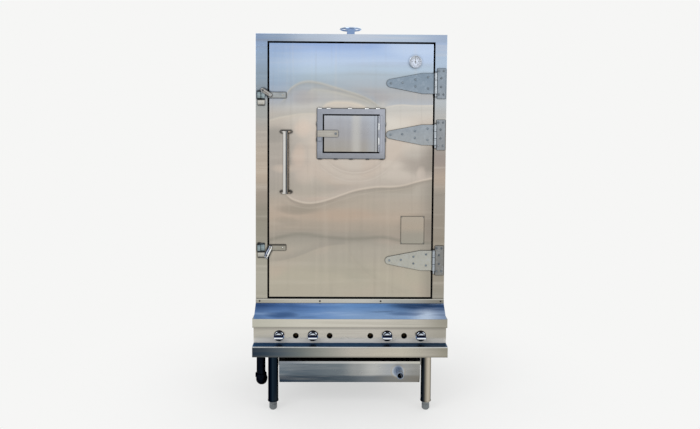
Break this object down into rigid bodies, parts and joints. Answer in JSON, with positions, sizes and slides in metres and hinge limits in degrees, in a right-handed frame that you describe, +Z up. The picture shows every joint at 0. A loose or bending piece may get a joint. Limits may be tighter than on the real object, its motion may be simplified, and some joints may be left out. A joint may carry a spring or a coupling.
{
  "type": "smoker oven",
  "caption": "Tall gas smoker oven: insulated steel cabinet with a strap-hinged door and hatch, burner base with knobs, drip pan, legs and a screw-down flue cover.",
  "frame": {"origin": "on the floor, under the middle of the whole oven", "axes": "+X to the right seen from the front, +Y away from the viewer to the rear, +Z up"},
  "size_m": [0.928, 0.767, 1.872],
  "materials": {
    "stainless": "brushed",
    "polished_stainless": "polished",
    "galvanised": "satin",
    "chrome": "polished",
    "black_iron": "rough",
    "brass": "satin",
    "dark_steel": "heat stained",
    "mineral_wool": "fibrous",
    "rope_seal": "woven",
    "white_enamel": "satin",
    "pointer_black": "satin",
    "clear_glass": "clear"
  },
  "bodies": {
    "cabinet": {"face_frame": "polished_stainless", "side_panels": "polished_stainless", "back_panel": "polished_stainless", "roof_panel": "polished_stainless", "liner_sides": "stainless", "liner_back": "stainless", "liner_top": "stainless", "insulation": "mineral_wool", "door_gasket": "rope_seal", "sill_trim": "polished_stainless", "front_apron": "polished_stainless", "rim_rail": "polished_stainless", "control_panel": "polished_stainless", "base_sides": "stainless", "base_back": "stainless", "ledge_shelf": "polished_stainless", "base_rails": "stainless", "legs": "stainless", "pan_runners": "stainless", "gas_inlet": "black_iron", "gas_manifold": "black_iron", "gas_valves": "brass", "burners": "black_iron", "burner_supports": "dark_steel", "burner_shields": "dark_steel", "chip_tray": "stainless", "rod_rails": "stainless", "hanging_rods": "stainless", "flue_collar": "stainless", "damper_bridge": "stainless", "hinge_plates": "galvanised", "hinge_pins": "galvanised", "latch_keepers": "galvanised"},
    "main_door": {"door_skin": "polished_stainless", "door_core": "mineral_wool", "door_liner": "stainless", "hinge_straps": "galvanised", "door_handle": "polished_stainless", "latch_straps": "galvanised", "rating_plate": "stainless", "thermometer_case": "polished_stainless", "thermometer_dial": "white_enamel", "thermometer_glass": "clear_glass", "hatch_frame": "galvanised"},
    "lower_latch": {"latch_arm_lower": "chrome"},
    "upper_latch": {"latch_arm_upper": "chrome"},
    "hatch": {"hatch_door": "polished_stainless"},
    "hatch_strap": {"hatch_latch": "stainless"},
    "pointer": {"thermometer_pointer": "pointer_black"},
    "damper_wheel": {"handwheel": "chrome"},
    "damper_cover": {"flue_cover": "stainless"},
    "pan": {"drip_pan": "stainless"},
    "burner_knob_1": {"knob_1": "chrome"},
    "burner_knob_2": {"knob_2": "chrome"},
    "burner_knob_3": {"knob_3": "chrome"},
    "burner_knob_4": {"knob_4": "chrome"},
    "levelling_foot_front_left": {"foot_front_left": "stainless"},
    "levelling_foot_front_right": {"foot_front_right": "stainless"},
    "levelling_foot_rear_left": {"foot_rear_left": "stainless"},
    "levelling_foot_rear_right": {"foot_rear_right": "stainless"}
  },
  "joints": [
    {"name": "door_hinge", "type": "hinge", "parent": "cabinet", "child": "main_door", "pos_m": [0.403, -0.2645, 0], "axis": [0, 0, 1], "range_deg": [0, 170]},
    {"name": "lower_latch_swing", "type": "hinge", "parent": "main_door", "child": "lower_latch", "pos_m": [-0.386, -0.2635, 0.772], "axis": [0, 1, 0], "range_deg": [-26, 64]},
    {"name": "upper_latch_swing", "type": "hinge", "parent": "main_door", "child": "upper_latch", "pos_m": [-0.386, -0.2635, 1.506], "axis": [0, 1, 0], "range_deg": [-31, 59]},
    {"name": "hatch_hinge", "type": "hinge", "parent": "main_door", "child": "hatch", "pos_m": [0.133, -0.2645, 1.3235], "axis": [0, 0, 1], "range_deg": [0, 150]},
    {"name": "hatch_latch_swing", "type": "hinge", "parent": "hatch", "child": "hatch_strap", "pos_m": [-0.074, -0.2645, 1.3235], "axis": [0, 1, 0], "range_deg": [-12, 90]},
    {"name": "thermometer_needle", "type": "hinge", "parent": "main_door", "child": "pointer", "pos_m": [0.305, -0.2615, 1.668], "axis": [0, 1, 0], "range_deg": [-135, 135]},
    {"name": "damper_wheel_turn", "type": "hinge", "parent": "cabinet", "child": "damper_wheel", "pos_m": [0, 0.0635, 1.86], "axis": [0, 0, 1], "range_deg": [0, 900]},
    {"name": "damper_lift", "type": "slide", "parent": "cabinet", "child": "damper_cover", "axis": [0, 0, 1], "range_m": [0, 0.02]},
    {"name": "drip_pan_slide", "type": "slide", "parent": "cabinet", "child": "pan", "axis": [0, -1, 0], "range_m": [0, 0.45]},
    {"name": "knob_1_turn", "type": "hinge", "parent": "cabinet", "child": "burner_knob_1", "pos_m": [-0.338, -0.33, 0.362], "axis": [0, 1, 0], "range_deg": [0, 90]},
    {"name": "knob_2_turn", "type": "hinge", "parent": "cabinet", "child": "burner_knob_2", "pos_m": [-0.177, -0.33, 0.362], "axis": [0, 1, 0], "range_deg": [0, 90]},
    {"name": "knob_3_turn", "type": "hinge", "parent": "cabinet", "child": "burner_knob_3", "pos_m": [0.177, -0.33, 0.362], "axis": [0, 1, 0], "range_deg": [0, 90]},
    {"name": "knob_4_turn", "type": "hinge", "parent": "cabinet", "child": "burner_knob_4", "pos_m": [0.338, -0.33, 0.362], "axis": [0, 1, 0], "range_deg": [0, 90]},
    {"name": "foot_front_left_turn", "type": "hinge", "parent": "cabinet", "child": "levelling_foot_front_left", "pos_m": [-0.367, -0.3065, 0.04], "axis": [0, 0, 1], "continuous": true},
    {"name": "foot_front_right_turn", "type": "hinge", "parent": "cabinet", "child": "levelling_foot_front_right", "pos_m": [0.367, -0.3065, 0.04], "axis": [0, 0, 1], "continuous": true},
    {"name": "foot_rear_left_turn", "type": "hinge", "parent": "cabinet", "child": "levelling_foot_rear_left", "pos_m": [-0.367, 0.3235, 0.04], "axis": [0, 0, 1], "continuous": true},
    {"name": "foot_rear_right_turn", "type": "hinge", "parent": "cabinet", "child": "levelling_foot_rear_right", "pos_m": [0.367, 0.3235, 0.04], "axis": [0, 0, 1], "continuous": true}
  ],
  "couplings": [
    {"joint": "damper_lift", "follows": "damper_wheel_turn", "m_per_rad": 0.0012732}
  ]
}
